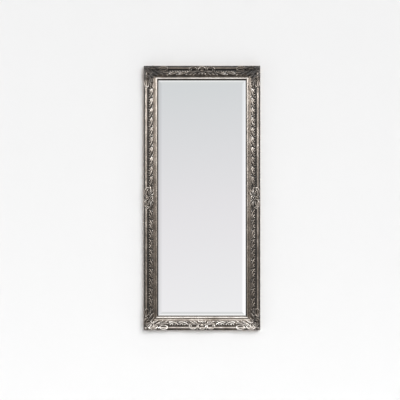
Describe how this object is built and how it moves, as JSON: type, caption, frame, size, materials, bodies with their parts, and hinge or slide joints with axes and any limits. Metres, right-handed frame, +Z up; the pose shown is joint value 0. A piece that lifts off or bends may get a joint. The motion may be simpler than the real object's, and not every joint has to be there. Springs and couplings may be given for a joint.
{
  "type": "rectangular mirror",
  "caption": "Tall rectangular bevelled mirror in a wide carved moulding with cast corner and centre ornaments, running leaves and hinged hanging rings behind.",
  "frame": {"origin": "on the wall behind the middle of the glass", "axes": "+X to the right seen from the front, +Y from the front to the wall, +Z up"},
  "size_m": [0.727, 0.056, 1.65],
  "materials": {
    "moulding": "antique silver leaf, dark patina in the recesses",
    "sight_slip": "silver leaf, lightly rubbed",
    "cast_ornament": "cast resin, antique silver leaf",
    "cast_leaf": "cast resin, antique silver leaf",
    "glass": "polished, silvered behind, bevelled edge",
    "pads": "matt",
    "board": "raw fibreboard",
    "steel": "zinc plated",
    "bumper": "matt"
  },
  "bodies": {
    "frame": {"top_rail": "moulding", "bottom_rail": "moulding", "left_stile": "moulding", "right_stile": "moulding", "top_slip": "sight_slip", "bottom_slip": "sight_slip", "left_slip": "sight_slip", "right_slip": "sight_slip", "mirror_glass": "glass", "setting_pads": "pads", "backing_board": "board", "retaining_tabs": "steel", "v_nails": "steel", "strap_left": "steel", "strap_right": "steel", "hanger_screws": "steel", "bumper_top_left": "bumper", "leaf_run_top_left": "cast_leaf", "ornament_top_left": "cast_ornament", "bumper_top_right": "bumper", "leaf_run_top_right": "cast_leaf", "ornament_top_right": "cast_ornament", "bumper_bottom_left": "bumper", "leaf_run_bottom_left": "cast_leaf", "ornament_bottom_left": "cast_ornament", "bumper_bottom_right": "bumper", "leaf_run_bottom_right": "cast_leaf", "ornament_bottom_right": "cast_ornament", "leaf_run_left_upper": "cast_leaf", "leaf_run_left_lower": "cast_leaf", "leaf_run_right_upper": "cast_leaf", "leaf_run_right_lower": "cast_leaf", "ornament_top_middle": "cast_ornament", "ornament_bottom_middle": "cast_ornament", "ornament_left_middle": "cast_ornament", "ornament_right_middle": "cast_ornament"},
    "ring_left": {"ring_left": "steel"},
    "ring_right": {"ring_right": "steel"}
  },
  "joints": [
    {"name": "ring_left_hinge", "type": "hinge", "parent": "frame", "child": "ring_left", "pos_m": [-0.3295, -0.0044, 0.495], "axis": [-1, 0, 0], "range_deg": [0, 180]},
    {"name": "ring_right_hinge", "type": "hinge", "parent": "frame", "child": "ring_right", "pos_m": [0.3295, -0.0044, 0.495], "axis": [-1, 0, 0], "range_deg": [0, 180]}
  ]
}
